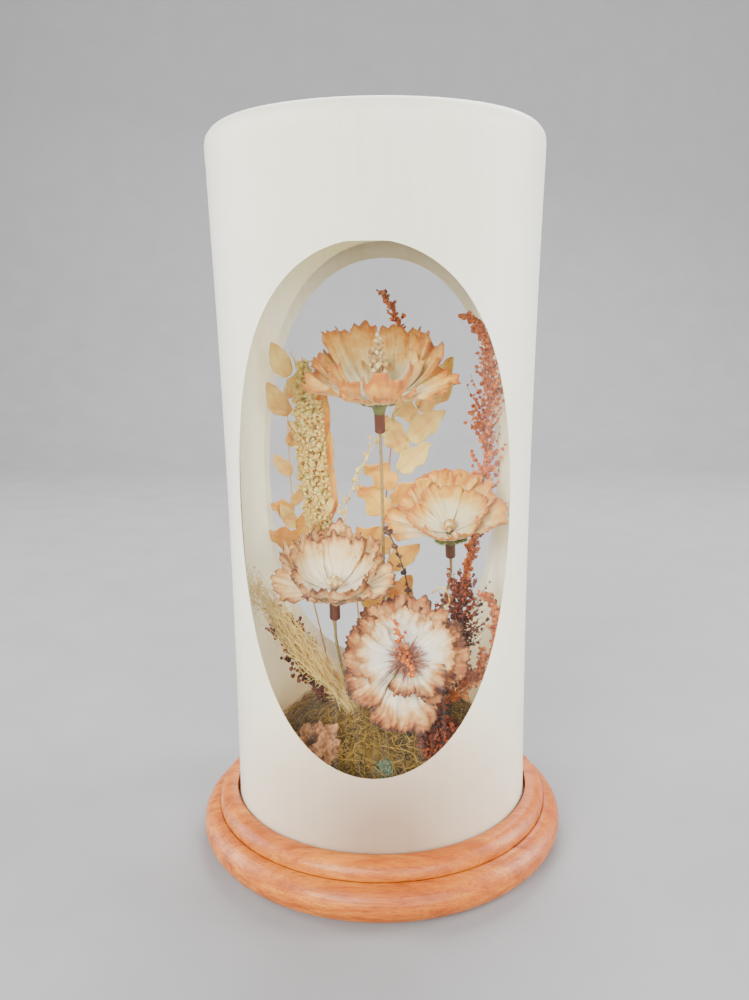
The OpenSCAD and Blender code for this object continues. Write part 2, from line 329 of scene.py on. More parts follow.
class Look:
    """Builds one node material around a single Principled shader."""

    def __init__(self, name, **sockets):
        self.material = bpy.data.materials.new(name)
        self.material.use_nodes = True
        self.tree = self.material.node_tree
        self.shader = self.tree.nodes["Principled BSDF"]
        for label, value in sockets.items():
            self.shader.inputs[label.replace("_", " ")].default_value = value
        self.place = self.tree.nodes.new("ShaderNodeTexCoord").outputs["Object"]

    def feed(self, value, socket):
        if isinstance(value, bpy.types.NodeSocket):
            self.tree.links.new(value, socket)
        elif isinstance(value, tuple):
            socket.default_value = (*value, 1)
        else:
            socket.default_value = value

    def node(self, kind, inputs, **settings):
        """The outputs of a new node, with a value, a colour or an output on each of these inputs."""
        n = self.tree.nodes.new("ShaderNode" + kind)
        for label, value in settings.items():
            setattr(n, label, value)
        for label, value in inputs.items():
            self.feed(value, n.inputs[label])
        return n.outputs

    def stretched(self, *scale):
        return self.node("Mapping", {"Vector": self.place, "Scale": Vector(scale)})["Vector"]

    def noise(self, scale, detail=4, roughness=0.55, where=None, distortion=0.0):
        return self.node("TexNoise", {"Vector": where or self.place, "Scale": scale, "Detail": detail,
                                      "Roughness": roughness, "Distortion": distortion})["Fac"]

    def cells(self, scale):
        return self.node("TexVoronoi", {"Vector": self.place, "Scale": scale})["Distance"]

    def wave(self, scale, where=None, distortion=0.0, direction="X"):
        return self.node("TexWave", {"Vector": where or self.place, "Scale": scale,
                                     "Distortion": distortion}, bands_direction=direction)["Fac"]

    def attribute(self, name):
        return self.node("Attribute", {}, attribute_name=name)["Fac"]

    def axis(self, letter):
        return self.node("SeparateXYZ", {"Vector": self.place})[letter]

    def mix(self, factor, a, b):
        return self.node("Mix", {"Factor": factor, 6: a, 7: b}, data_type="RGBA")[2]

    def math(self, operation, a, b=0.0):
        return self.node("Math", {0: a, 1: b}, operation=operation)[0]

    def span(self, value, low, high, to_low, to_high):
        return self.node("MapRange", {"Value": value, "From Min": low, "From Max": high,
                                      "To Min": to_low, "To Max": to_high})["Result"]

    def ramp(self, value, stops):
        n = self.tree.nodes.new("ShaderNodeValToRGB")
        self.feed(value, n.inputs["Fac"])
        while len(n.color_ramp.elements) < len(stops):
            n.color_ramp.elements.new(0.5)
        for element, (at, colour) in zip(n.color_ramp.elements, stops, strict=True):
            element.position = at
            element.color = (*colour, 1)
        return n.outputs["Color"]

    def two_tones(self, value, low, high):
        """One colour up to 0.3, another from 0.7, and a blend between them."""
        return self.ramp(value, [(0.3, low), (0.7, high)])

    def surface(self, colour, roughness, *bump):
        """The material with these on its shader. A bump is a height, a strength and a depth in mm."""
        self.feed(colour, self.shader.inputs["Base Color"])
        self.feed(roughness, self.shader.inputs["Roughness"])
        if bump:
            height, strength, depth = bump
            self.feed(self.node("Bump", {"Height": height, "Strength": strength,
                                         "Distance": depth * MM})["Normal"], self.shader.inputs["Normal"])
        return self.material


def rgb(r, g, b):
    """A colour from its screen values, 0 to 255."""
    return tuple(c / 255 / 12.92 if c <= 10 else ((c / 255 + 0.055) / 1.055) ** 2.4 for c in (r, g, b))


def wood_look():
    look = Look("turned_wood", Coat_Weight=0.15, Coat_Roughness=0.35, Specular_IOR_Level=0.35)
    streaks = look.noise(1.0, 8, 0.62, look.stretched(28, 240, 320), 0.6)
    pores = look.noise(1.0, 3, 0.7, look.stretched(260, 2600, 2600))
    tone = look.ramp(streaks, [(0.28, rgb(136, 62, 12)), (0.45, rgb(188, 98, 24)),
                               (0.58, rgb(210, 124, 36)), (0.75, rgb(226, 152, 62))])
    tone = look.mix(look.span(look.noise(22, 3), 0.35, 0.68, 0.0, 0.5), tone, rgb(170, 74, 16))
    tone = look.mix(look.span(pores, 0.5, 0.36, 0.0, 0.45), tone, rgb(86, 44, 26))
    return look.surface(tone, look.span(streaks, 0.3, 0.7, 0.5, 0.34),
                        look.math("ADD", streaks, look.math("MULTIPLY", pores, 0.6)), 0.35, 0.12)


def felt_look():
    look = Look("felt", Sheen_Weight=0.5, Sheen_Roughness=0.5)
    fuzz = look.noise(2600, 5, 0.8)
    return look.surface(look.two_tones(fuzz, rgb(38, 48, 34), rgb(74, 88, 62)),
                        look.span(fuzz, 0.3, 0.7, 0.85, 1.0), fuzz, 0.6, 0.2)


PAINTED_GLOW_AT = (0.003, -0.05, 0.022)      # centre of a painted glow on the frost that stands for the lit growth inside, in m


def frost_look():
    look = Look("frosted_glass", Subsurface_Weight=1.0, Subsurface_Scale=0.004, Sheen_Weight=0.6,
                Sheen_Roughness=0.3)
    look.shader.inputs["Subsurface Radius"].default_value = (1.0, 0.96, 0.9)
    streak = look.noise(1.0, 4, 0.55, look.stretched(420, 420, 18))
    tone = look.two_tones(look.noise(30, 5, 0.6), rgb(244, 239, 212), rgb(252, 248, 226))
    tone = look.mix(look.span(streak, 0.4, 0.75, 0.0, 0.25), tone, rgb(224, 219, 196))
    # painted bounce light: the frost is warmer towards the bottom of the dome, standing in for light
    # thrown up from the wood and moss
    painted_bounce = look.math("ADD", look.span(look.axis("Z"), 0.014, 0.085, 0.5, 0.0),
                     look.span(look.noise(24, 3), 0.3, 0.7, -0.06, 0.06))
    tone = look.mix(look.span(painted_bounce, 0.0, 1.0, 0.0, 1.0), tone, rgb(222, 180, 146))
    # painted glow: a brown blotch on the frost near the growth inside, standing in for its light through
    # the glass
    away = look.node("VectorMath", {0: look.place, 1: Vector(PAINTED_GLOW_AT)}, operation="DISTANCE")["Value"]
    near = look.span(away, 0.008, 0.052, 0.65, 0.0)
    return look.surface(look.mix(near, tone, rgb(138, 94, 62)),
                        look.span(look.noise(900, 2), 0.3, 0.7, 0.42, 0.6),
                        look.noise(3600, 3, 0.7), 0.12, 0.03)


def clear_look():
    look = Look("clear_glass", Specular_IOR_Level=0.8)
    streak = look.noise(1.0, 6, 0.7, look.stretched(900, 900, 9))
    haze = look.noise(60, 4)
    # painted reflection: the film thickens towards the windows' sides, standing in for the glass's
    # stronger reflection at grazing angles
    side = look.span(look.math("ABSOLUTE", look.axis("X")), 0.029, 0.043, 0.0, 0.055)
    film = look.math("ADD", look.span(streak, 0.5, 0.8, 0.0, 0.05),
                     look.span(haze, 0.35, 0.7, 0.003, 0.014))
    film = look.math("ADD", film, side)
    specks = look.span(look.cells(430), 0.035, 0.05, 0.5, 0.0)
    look.feed(look.math("MAXIMUM", film, specks), look.shader.inputs["Alpha"])
    return look.surface(look.two_tones(haze, rgb(196, 196, 192), rgb(214, 212, 206)),
                        look.span(streak, 0.3, 0.8, 0.06, 0.3))


def petal_look(name, stops):
    """Silk: pale at the heart, painted towards the edge, with a fine weave and veins."""
    look = Look(name, Subsurface_Weight=0.25, Subsurface_Scale=0.001, Sheen_Weight=0.25,
                Sheen_Roughness=0.4, Specular_IOR_Level=0.35)
    look.shader.inputs["Subsurface Radius"].default_value = (1.0, 0.8, 0.55)
    blotch = look.noise(260, 5, 0.65)
    edge = look.math("ADD", look.attribute("shade"), look.span(blotch, 0.3, 0.7, -0.15, 0.15))
    tone = look.ramp(edge, stops)
    spread = look.node("CombineXYZ", {"X": look.attribute("grain")})["Vector"]
    veins = look.wave(5.5, spread, 0.6)
    tone = look.mix(look.span(veins, 0.0, 0.25, 0.2, 0.0), tone, rgb(176, 132, 96))
    weave = look.math("ADD", look.wave(2400), look.wave(2400, direction="Z"))
    return look.surface(tone, look.span(blotch, 0.3, 0.7, 0.55, 0.75),
                        look.math("ADD", look.math("MULTIPLY", weave, 0.2), veins), 0.35, 0.12)


def plant_look(name, low, high, scale=500, roughness=0.8, sub=0.1, bump=0.5):
    """Dried growth whose tone wanders between two colours, and with the shade of its part."""
    look = Look(name, Subsurface_Weight=sub, Subsurface_Scale=0.001, Specular_IOR_Level=0.3)
    mottle = look.noise(scale, 5, 0.7)
    low, high = rgb(*low), rgb(*high)
    value = look.math("ADD", look.math("MULTIPLY", mottle, 0.5),
                      look.math("MULTIPLY", look.attribute("shade"), 0.5))
    middle = tuple((a + b) / 2 for a, b in zip(low, high, strict=True))
    return look.surface(look.ramp(value, [(0.2, low), (0.48, middle), (0.78, high)]),
                        look.span(mottle, 0.3, 0.7, roughness - 0.12, min(roughness + 0.12, 1.0)),
                        mottle, bump, 0.25)


PEACH = [(0.0, rgb(254, 246, 214)), (0.42, rgb(254, 238, 186)), (0.64, rgb(250, 210, 118)),
         (0.82, rgb(240, 172, 62)), (0.97, rgb(206, 122, 34))]
CREAM = [(0.0, rgb(254, 248, 222)), (0.5, rgb(252, 236, 194)), (0.76, rgb(238, 196, 124)),
         (0.92, rgb(190, 124, 62)), (0.99, rgb(98, 54, 24))]
RUST = [(0.0, rgb(254, 250, 236)), (0.46, rgb(248, 234, 202)), (0.66, rgb(224, 178, 112)),
        (0.85, rgb(172, 100, 44)), (0.97, rgb(72, 32, 12))]

LOOKS = {
    "wood": wood_look(),
    "felt": felt_look(),
    "frost": frost_look(),
    "clear": clear_look(),
    "peach": petal_look("silk_peach", PEACH),
    "cream": petal_look("silk_cream", CREAM),
    "rust": petal_look("silk_rust", RUST),
}
PLANTS = {               # each with what plant_look() takes
    "calyx": ("green_calyx", (70, 84, 36), (150, 158, 92), 300, 0.6),
    "sleeve": ("brown_sleeve", (70, 34, 22), (112, 62, 44), 220, 0.45, 0.0, 0.2),
    "wire": ("stem_wire", (112, 92, 46), (178, 156, 100), 900, 0.75, 0.0),
    "stamen": ("stamen", (176, 128, 62), (250, 230, 170), 900, 0.8),
    "fibre": ("mauve_fibre", (104, 58, 44), (206, 150, 122), 900, 0.8),
    "blossom": ("pale_blossom", (236, 176, 62), (255, 238, 150), 700, 0.8, 0.4),
    "pale_leaf": ("pale_leaf", (214, 164, 62), (252, 230, 142), 260, 0.65, 0.4),
    "amber_leaf": ("amber_leaf", (196, 124, 22), (250, 200, 84), 260, 0.6, 0.35),
    "pale_bud": ("pale_bud", (222, 180, 76), (255, 236, 150), 700, 0.75, 0.3),
    "rusty": ("rusty_seed", (146, 52, 10), (248, 146, 58), 800, 0.75, 0.2),
    "dark_seed": ("dark_seed", (50, 16, 8), (168, 80, 40), 800, 0.7),
    "twig": ("dark_twig", (42, 26, 22), (118, 82, 62), 900, 0.8, 0.0),
    "straw": ("straw", (176, 122, 42), (255, 228, 140), 700, 0.6, 0.2),
    "moss": ("moss", (34, 22, 6), (190, 152, 60), 500, 0.88, 0.1),
    "bark": ("bark", (80, 38, 16), (224, 164, 108), 260, 0.85, 0.1, 1.0),
    "lichen": ("lichen", (40, 58, 40), (124, 148, 112), 600, 0.88),
    "foam": ("florist_foam", (52, 66, 40), (92, 112, 72), 1400, 0.88, 0.0, 0.8),
}
LOOKS.update({label: plant_look(*told) for label, told in PLANTS.items()})


# -------- camera, light and floor

FOCAL = 33.74            # mm, on a film whose long side is 36 mm
CAMERA_AT = (15.16, -312.45, 184.85)
CAMERA_DOWN = 0.2048     # radians below level
CAMERA_TURN = 0.053      # radians to the left of +Y
CAMERA_ROLL = -0.0111
LIT_POINT = (0, 0, 0.12)     # what every light points at, in m like the lights' own places
WARM_WHITE = (1, 0.98, 0.95)


def make_camera():
    data = bpy.data.cameras.new("camera")
    data.sensor_width = 36
    data.lens = FOCAL
    data.clip_start = 0.01
    camera = linked("camera", data)
    turn = (Matrix.Rotation(CAMERA_TURN, 4, "Z") @ Matrix.Rotation(math.pi / 2 - CAMERA_DOWN, 4, "X")
            @ Matrix.Rotation(CAMERA_ROLL, 4, "Z"))
    camera.matrix_world = Matrix.Translation(Vector(CAMERA_AT) * MM) @ turn
    bpy.context.scene.camera = camera


def area_light(name, at, size, power, colour=(1, 1, 1)):
    data = bpy.data.lights.new(name, "AREA")
    data.shape = "RECTANGLE"
    data.size, data.size_y = size
    data.energy = power
    data.color = colour
    light = linked(name, data)
    light.location = at
    light.rotation_euler = (Vector(LIT_POINT) - Vector(at)).to_track_quat("-Z", "Y").to_euler()


def make_lights():
    area_light("key", (-0.5, -1.05, 0.62), (0.7, 0.6), 26, WARM_WHITE)
    area_light("fill", (0.6, -1.1, 0.4), (0.6, 0.6), 13, WARM_WHITE)
    area_light("left", (-1.0, 0.1, 0.4), (0.5, 0.9), 14)
    area_light("right", (1.0, 0.1, 0.4), (0.5, 0.9), 19)
    area_light("back", (0.1, 0.7, 0.8), (0.8, 0.4), 14)
    world = bpy.data.worlds.new("studio")
    world.use_nodes = True
    sky = world.node_tree.nodes["Background"].inputs
    sky["Color"].default_value = (0.8, 0.82, 0.85, 1)
    sky["Strength"].default_value = 0.4
    bpy.context.scene.world = world


def make_floor():
    """A pale floor that curves up into a backdrop."""
    front, depth, curve, rise, half = -1200.0, 750.0, 350.0, 1400.0, 1600.0
    turn = np.linspace(0, math.pi / 2, 17)
    y = np.concatenate([[front], depth + curve * np.sin(turn), [depth + curve]])
    z = np.concatenate([[0], curve * (1 - np.cos(turn)), [rise]])
    rows = np.stack([np.stack([np.full_like(y, x), y, z], axis=1) for x in (-half, half)], axis=1)
    mesh = bpy.data.meshes.new("floor")
    mesh.from_pydata((rows.reshape(-1, 3) * MM).tolist(), [], grid_faces(len(y), 2).tolist())
    mesh.shade_smooth()
    floor = linked("floor", mesh)
    look = Look("floor")
    grain = look.noise(30)
    mesh.materials.append(look.surface(look.two_tones(grain, rgb(148, 148, 150), rgb(154, 154, 156)),
                                       look.span(grain, 0.3, 0.7, 0.65, 0.8)))


# -------- glass, wood and felt

WINDOW_Z = 122.9         # height of the middle of both ovals
WINDOW_HALF_H = 79.5
WINDOW_HALF_TURN = 0.9706    # radians round the glass, from the middle of an oval to its side
FLAT_TOP = 0.994         # the front oval is cut flat at this share of its half height
RIM_ROUND = 0.6
FLAT_R = 50.0            # turns are drawn on the flat at this radius
FROST_SETBACK = 6.0      # the inside is clear a little beyond the oval, so one edge shows


def make_dome():
    """Glass in one closed mesh, with its frosted and its clear faces in two materials."""
    shoulder = CROWN_Z - WALL_TOP_Z
    low = RIM_Z + RIM_ROUND
    half = FLAT_R * math.pi / 2
    up, down = WALL_TOP_Z - WINDOW_Z, low - WINDOW_Z
    corners = [math.atan2(z, x) for z in (up, down) for x in (half, -half)]
    rays = np.sort(np.concatenate([np.linspace(-math.pi, math.pi, 168, endpoint=False), corners]))
    c, s = np.cos(rays), np.sin(rays)
    far = np.minimum(half / np.maximum(np.abs(c), 1e-9),
                     np.where(s > 0, up, -down) / np.maximum(np.abs(s), 1e-9))
    box = np.stack([far * c, far * s], axis=1)
    near = 1 / np.hypot(c / (WINDOW_HALF_TURN * FLAT_R), s / WINDOW_HALF_H)
    form = Form()
    edge_turns = {up: [], down: []}

    def even_turns(edge):
        turns = np.sort(np.unique(np.round(np.concatenate(edge_turns[edge]) % TAU, 6)))
        return turns[np.diff(turns, prepend=turns[-1] - TAU) > 1e-4]

    def lathe(r, z, turns):
        form.grid(around(r[:, None], turns, z[:, None]), True)

    for inward in (0.0, GLASS_T):
        for centre, flat in ((-math.pi / 2, FLAT_TOP), (math.pi / 2, 1.0)):
            oval = np.stack([near * c, np.minimum(near * s, flat * WINDOW_HALF_H)], axis=1)
            if inward:
                oval = oval + FROST_SETBACK * unit(oval)
            clear = oval[None] * np.linspace(0, 1, 20)[:, None, None]
            frosted = oval[None] + (box - oval)[None] * np.linspace(0, 1, 12)[:, None, None]
            for form.part, rings in ((1, clear), (0, frosted)):
                turns, z = centre + rings[..., 0] / FLAT_R, WINDOW_Z + rings[..., 1]
                form.grid(around(np.polyval(GLASS_CURVE, z) - inward, turns, z), True)
            for edge in (up, down):
                on_edge = np.abs(box[:, 1] - edge) < 1e-6
                edge_turns[edge].append(centre + box[on_edge, 0] / FLAT_R)
        top_r = np.polyval(GLASS_CURVE, WALL_TOP_Z)
        bend = np.linspace(0, math.pi / 2, 13)
        lathe(np.concatenate([top_r - shoulder + (shoulder - inward) * np.cos(bend),
                              (top_r - shoulder) * np.linspace(1, 0, 14)[1:]]),
              np.concatenate([WALL_TOP_Z + (shoulder - inward) * np.sin(bend),
                              np.full(13, CROWN_Z - inward)]), even_turns(up))
    r = np.polyval(GLASS_CURVE, low)
    inner = r - GLASS_T
    lathe(np.array([r, r - 0.2, r - RIM_ROUND, inner + RIM_ROUND, inner + 0.2, inner]),
          np.array([low, low - 0.4, RIM_Z, RIM_Z, low - 0.4, low]), even_turns(down))
    form.piece("glass_dome_shell", ["frost", "clear"], "glass_dome", "dome", 0.01)


def make_base():
    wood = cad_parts["wood_base"]
    wood.data.materials.clear()
    wood.data.materials.append(LOOKS["wood"])
    low, high = box_mm("base_felt")
    rng = default_rng(3)
    form = Form()
    outline = [(0, low[2]), (0.3, low[2]), (0.6, low[2]), (0.9, low[2]), (0.985, low[2] + 0.02),
               (1, low[2] + 0.2), (1, high[2] - 0.2), (0.985, high[2]), (0.5, high[2]), (0, high[2])]
    turns = np.linspace(0, TAU, 180, endpoint=False)
    rows = []
    for share, z in outline:
        frayed = 0.08 * np.abs(wobble(rng, turns / TAU, 6, 20)) if share > 0.95 else 0
        rows.append(around(share * (high[0] - frayed), turns, z))
    form.grid(np.array(rows), True, shade=0.5)
    form.piece("felt_pad", "felt", "base_felt", weld=0.001)


# -------- foam, moss and lumps

def roughness_at(points, scale, octaves=4):
    return np.array([noise.fractal(Vector(p * scale), 1.0, 2.0, octaves) for p in points])


def on_surface(node, count, rng):
    """Random points on a node of the frame, and the normals there."""
    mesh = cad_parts[node].data
    co = node_verts(node)
    mesh.calc_loop_triangles()
    tri = np.array([t.vertices[:] for t in mesh.loop_triangles])
    a, b, c = co[tri[:, 0]], co[tri[:, 1]], co[tri[:, 2]]
    cross = np.cross(b - a, c - a)
    area = np.linalg.norm(cross, axis=1)
    pick = rng.choice(len(tri), count, p=area / area.sum())
    u, v = rng.random((2, count, 1))
    u, v = np.where(u + v > 1, 1 - u, u), np.where(u + v > 1, 1 - v, v)
    return a[pick] + u * (b - a)[pick] + v * (c - a)[pick], unit(cross[pick])


def make_foam():
    low, high = box_mm("foam_block")
    verts, faces = BALL_FINEST
    reach = np.maximum(np.hypot(verts[:, 0], verts[:, 1]), np.abs(verts[:, 2]))
    verts = verts / reach[:, None]
    verts = verts * (high - low) / 2 * 0.99 + (low + high) / 2
    verts = verts * (1 - 0.006 * np.abs(roughness_at(verts, 0.8)))[:, None]
    verts[:, 2] = np.clip(verts[:, 2], low[2], high[2])
    form = Form()
    form.add(verts, faces, 0.5)
    form.piece("foam_core", "foam", "foam_block")


MOSS_FIBRES = 3200


def make_moss():
    low, high = box_mm("moss_mound")
    rng = default_rng(11)
    form = Form()
    rise = np.linspace(0, math.pi / 2, 56)[:, None]
    turns = np.linspace(0, TAU, 150, endpoint=False)[None, :]
    size = np.array([high[0], high[1], high[2] - low[2]])
    points = around(np.cos(rise), turns, np.sin(rise)) * size * 0.965
    dents = roughness_at(points.reshape(-1, 3), 0.16, 5).reshape(points.shape[:2])
    points = points * (1 + 0.035 * np.clip(dents, -1, 1))[..., None] + [0, 0, low[2]]
    points[0, :, 2] = low[2]
    # painted shade: the mound is lighter where it bulges out and darker where it dips
    form.grid(points, True, 0.25 + 0.3 * dents)
    inner = points[0] * [0.58, 0.58, 1]
    form.grid(np.stack([inner, points[0]]), True, 0.2)
    starts, normals = on_surface("moss_mound", 10500, rng)
    fits = (starts[:, 2] > low[2] + 1) & (np.hypot(starts[:, 0], starts[:, 1]) > 0.5)
    fits &= (normals * (starts - [0, 0, low[2]])).sum(1) > 0
    starts, normals = starts[fits][:MOSS_FIBRES], normals[fits][:MOSS_FIBRES]
    for p, n in zip(starts, normals, strict=True):
        across = unit(np.cross(n, rng.normal(size=3)))
        length = rng.uniform(4, 11)
        s = steps(7)
        curl = np.cross(n, across) * wobble(rng, s, 2, 0.7) * length * 0.4
        lift = n * (0.2 + 2.6 * rng.random() ** 2 * np.sin(s * math.pi * rng.uniform(0.5, 1)))
        tone = rng.random() ** 1.3
        form.tube(p + across * s * length + 1.5 * curl + lift - n * 0.05 * length * s**2,
                  rng.uniform(0.1, 0.24) * (1 - 0.6 * s[:, 0]), 4, tone)
    form.piece("moss_bed", "moss", "moss_mound")


def rough_lump(form, node, depth, scale, hollow=None, grown=1.0):
    """A ball fitted to a node's box, with bumps and ridges, and a dent in the hollow's direction; its
    tone carries painted shade in the grooves and the hollow.
    """
    low, high = box_mm(node)
    verts, faces = BALL_FINEST
    bumps = roughness_at(verts, scale, 6)
    ridges = np.abs(roughness_at(verts * [1, 1, 0.35] + 7, scale * 1.7, 4))
    change = 1 + depth * bumps - depth * 0.8 * ridges
    # painted shade: lighter on the bumps and darker along the grooves
    shade = 0.5 + 0.4 * bumps - 0.3 * ridges
    if hollow is not None:
        near = np.clip(1 - np.linalg.norm((verts - unit(hollow)) * [1, 1, 1.5], axis=1) / 0.42, 0, 1)
        change = change - 0.5 * near**0.6
        # painted shade: much darker inside the hollow
        shade = shade - 0.9 * near**0.5
    form.add(verts * change[:, None] * (high - low) / 2 * 0.98 * grown + (low + high) / 2, faces,
             np.clip(shade, 0, 1))


def make_lumps():
    form = Form()
    rough_lump(form, "bark_piece", 0.3, 3.1, (-0.25, -0.6, 0.75), 1.3)
    form.piece("bark_lump", "bark", "bark_piece")
    rng = default_rng(21)
    form = Form()
    rough_lump(form, "lichen_tuft", 0.25, 2.2)
    count = 700
    places, normals = on_surface("lichen_tuft", count, rng)
    size = rng.uniform(0.2, 0.55, count)
    form.blobs(places + normals * size[:, None] * 0.5, size, random_turns(rng, count), rng, 0.25,
               shade=rng.random(count))
    form.piece("lichen_crust", "lichen", "lichen_tuft")
    form = Form()
    rough_lump(form, "seed_cluster", 0.12, 2.0)
    count = 2600
    places, normals = on_surface("seed_cluster", count, rng)
    places = places + normals * rng.uniform(-0.3, 1.2, (count, 1))
    places = places + [0, 0, 1] * rng.uniform(0, 3, (count, 1)) ** 1.3
    size = rng.uniform(0.35, 0.75, (count, 1)) * [1, 1, 1.5]
    form.blobs(places, size, random_turns(rng, count), rng, 0.15, shade=rng.random(count) ** 1.5)
    form.piece("seed_bed", "dark_seed", "seed_cluster")


# -------- silk flowers

PETAL_FOOT = {"outer": 0.0, "inner": 0.8}    # how far above the hub the petals of a layer start


def flower_frame(name):
    """The hub of a flower and three directions: to the right, to its back, and along its axis."""
    middles = spine(f"{name}_flower_stem")[0]
    axis = unit(middles[-1] - middles[-2])
    calyx = node_verts(f"{name}_flower_calyx")
    hub = middles[-1] + axis * ((calyx - middles[-1]) @ axis).max()
    right = unit(np.array([1.0, 0, 0]) - axis * axis[0])
    return hub, np.stack([right, np.cross(axis, right), axis])


def petal(form, place, rng, heading, spread, reach, lift, bend=(0.6, 0.1), ruffle=1.0, teeth=7,
          tint=0.0, foot=0.0, pleat=0.0):
    """One fan of silk. Heading and spread are in degrees; bend is where the curve of its middle
    line is pulled to, as shares of the reach and the lift."""
    hub, axes = place
    s = steps(30)
    t = np.linspace(-1, 1, 57)[None, :]
    jag = 0.045 * np.abs(((t * teeth + rng.random()) % 1) * 2 - 1) + 0.05 * wobble(rng, t, 5, 0.8)
    jag = jag - 0.1 * np.clip(wobble(rng, t, 6, 2.2) - 0.3, 0, 1)
    outline = reach * (1 - 0.17 * np.abs(t) ** 3 + jag * s**5)
    middle = 2 * s * (1 - s)
    r = 1.2 + (outline - 1.2) * (middle * bend[0] + s * s)
    z = foot + lift * (middle * bend[1] + s * s)
    pleats = wobble(rng, t, 3, 1.4) * s * (1 - 0.6 * s)
    z = z + ruffle * (1.3 * s**2 * wobble(rng, t, 4, 0.9) + 0.9 * pleats)
    z = z + 0.5 * ruffle * s**4 * np.sin(t * teeth * math.pi + rng.random() * 6)
    z = z + pleat * s * (1 - 0.45 * s) * np.sin(t * 4.2 * math.pi + 2 * wobble(rng, t, 2, 0.5))
    angle = np.radians(heading + spread * t * (0.72 + 0.28 * s) + 3 * wobble(rng, s, 2))
    side = np.abs(t) ** 10 * s**1.2
    shade = np.maximum(s**1.15 * (0.93 + 0.06 * wobble(rng, t, 4, 1.5)), side * 0.85)
    shade = np.clip(shade + 0.07 * (s > 0.975) + tint, 0, 1)
    form.sheet(hub + around(r, angle, z) @ axes, 0.25, shade, t * spread / 11 + heading)


def fan(*shape, **more):
    """What petal() takes from the heading on."""
    return shape, more


def make_petals(name, look, layers, seed):
    rng = default_rng(seed)
    place = flower_frame(name)
    for layer, petals in layers.items():
        form = Form()
        for shape, more in petals:
            petal(form, place, rng, *shape, foot=PETAL_FOOT[layer], **more)
        form.piece(f"{name}_flower_{layer}_silk", look, f"{name}_flower_{layer}_petals")


def make_flower_parts(name):
    """Calyx, sleeve and wrapped wire under a flower."""
    hub, axes = flower_frame(name)
    rng = default_rng(len(name))
    turns = np.linspace(0, TAU, 49)[:-1]

    def turned(outline):
        r, z = np.array(outline).T[..., None]
        form.grid(hub + around(r, turns, z) @ axes, True, 0.5)

    calyx = (node_verts(f"{name}_flower_calyx") - hub) @ axes.T
    sleeve = (node_verts(f"{name}_flower_sleeve") - hub) @ axes.T
    foot, top = calyx[:, 2].min(), sleeve[:, 2].min()
    width = np.hypot(sleeve[:, 0], sleeve[:, 1]).max()
    form = Form()
    turned([(0.7, foot), (1.9, foot), (2.3, foot * 0.6), (3.1, foot * 0.25), (3.3, -0.05),
            (0.7, -0.05), (0.7, foot)])
    for k in range(5):
        petal(form, (hub, axes), rng, k * 72 + 20, 26, 7.6, 1.6, (0.6, 0.0), 0.25, 3, foot=-0.5)
    form.piece(f"{name}_flower_calyx_leaves", "calyx", f"{name}_flower_calyx")
    form = Form()
    length = foot - top
    outline = [(0.62, top), (width - 0.25, top), (width, top + 0.25)]
    outline += [(width + 0.04 * math.sin(k * 2.1), top + length * k / 9) for k in range(1, 9)]
    outline += [(width, foot - 0.25), (width - 0.25, foot), (0.62, foot), (0.62, top)]
    turned(outline)
    form.piece(f"{name}_flower_sleeve_tube", "sleeve", f"{name}_flower_sleeve")
    form = Form()
    path, girth = resampled(f"{name}_flower_stem", 160)
    wrap = np.abs(((np.arange(len(path)) / 4.3) % 1) * 2 - 1)
    form.tube(path, girth * (0.94 + 0.08 * wrap), 10, 0.35 + 0.4 * wrap)
    form.piece(f"{name}_flower_wire", "wire", f"{name}_flower_stem")


def make_centre(name, look, tall, count, seed, bristles=False):
    """Stamens: a fan of threads with buds at their ends, or of bare bristles."""
    rng = default_rng(seed)
    hub, axes = flower_frame(name)
    form = Form()
    centre = (node_verts(f"{name}_flower_centre") - hub) @ axes.T
    low, high = centre[:, 2].min(), centre[:, 2].max()
    width = np.hypot(centre[:, 0], centre[:, 1]).max()
    verts, faces = BALL_FINE
    verts = verts * [width * 0.8, width * 0.8, (high - low) / 2] + [0, 0, (low + high) / 2]
    form.add(hub + verts @ axes, faces, 0.2)
    tips = []
    for _ in range(count):
        turn, out = rng.random() * TAU, math.sqrt(rng.random())
        height = tall * rng.uniform(0.55, 1) * (1 - 0.45 * out)
        spread = width * (2.2 if bristles else 0.7) * out
        s = steps(7)
        r = width * 0.35 * out + spread * s**1.6
        points = np.concatenate([r * math.cos(turn), r * math.sin(turn), low + height * s], axis=1)
        points[:, :2] += (0.9 if bristles else 0.35) * rng.normal(size=2) * s**2
        form.tube(hub + points @ axes, 0.2 * (1 - 0.5 * s[:, 0]), 5, rng.random())
        tips.append(points[-1])
    if not bristles:
        tips = np.array(tips)
        size = rng.uniform(0.5, 0.95, (count, 1)) * [1, 1, 1.15]
        form.blobs(hub + tips @ axes, size, random_turns(rng, count), rng, 0.22, True, rng.random(count))
    form.piece(f"{name}_flower_stamens", look, f"{name}_flower_centre")


TOP_FLOWER = {
    "outer": [
        fan(126, 34, 22, 19, (0.7, 0.15), 1.7), fan(58, 32, 22, 18, (0.7, 0.15), 1.7),
        fan(24, 30, 22, 16, (0.65, 0.2), 1.5, teeth=4), fan(-14, 32, 25, 8, (0.6, 0.45), 1.3),
        fan(-62, 38, 16, 7, (0.7, 0.3), 1.1), fan(-116, 38, 16, 7, (0.7, 0.3), 1.1),
        fan(-166, 32, 24, 9, (0.6, 0.45), 1.3), fan(156, 30, 22, 13, (0.65, 0.25), 1.5)],
    "inner": [
        fan(96, 34, 11, 9, (0.9, 0.1), 0.8, tint=-0.2),
        fan(28, 42, 15, 12, (0.85, 0.1), 1.2, tint=-0.18),
        fan(-66, 50, 13, 12.5, (1.1, 0.1), 0.9, tint=0.14, teeth=5),
        fan(-158, 44, 16, 11, (0.85, 0.15), 1.3, tint=0.06, teeth=5)]}
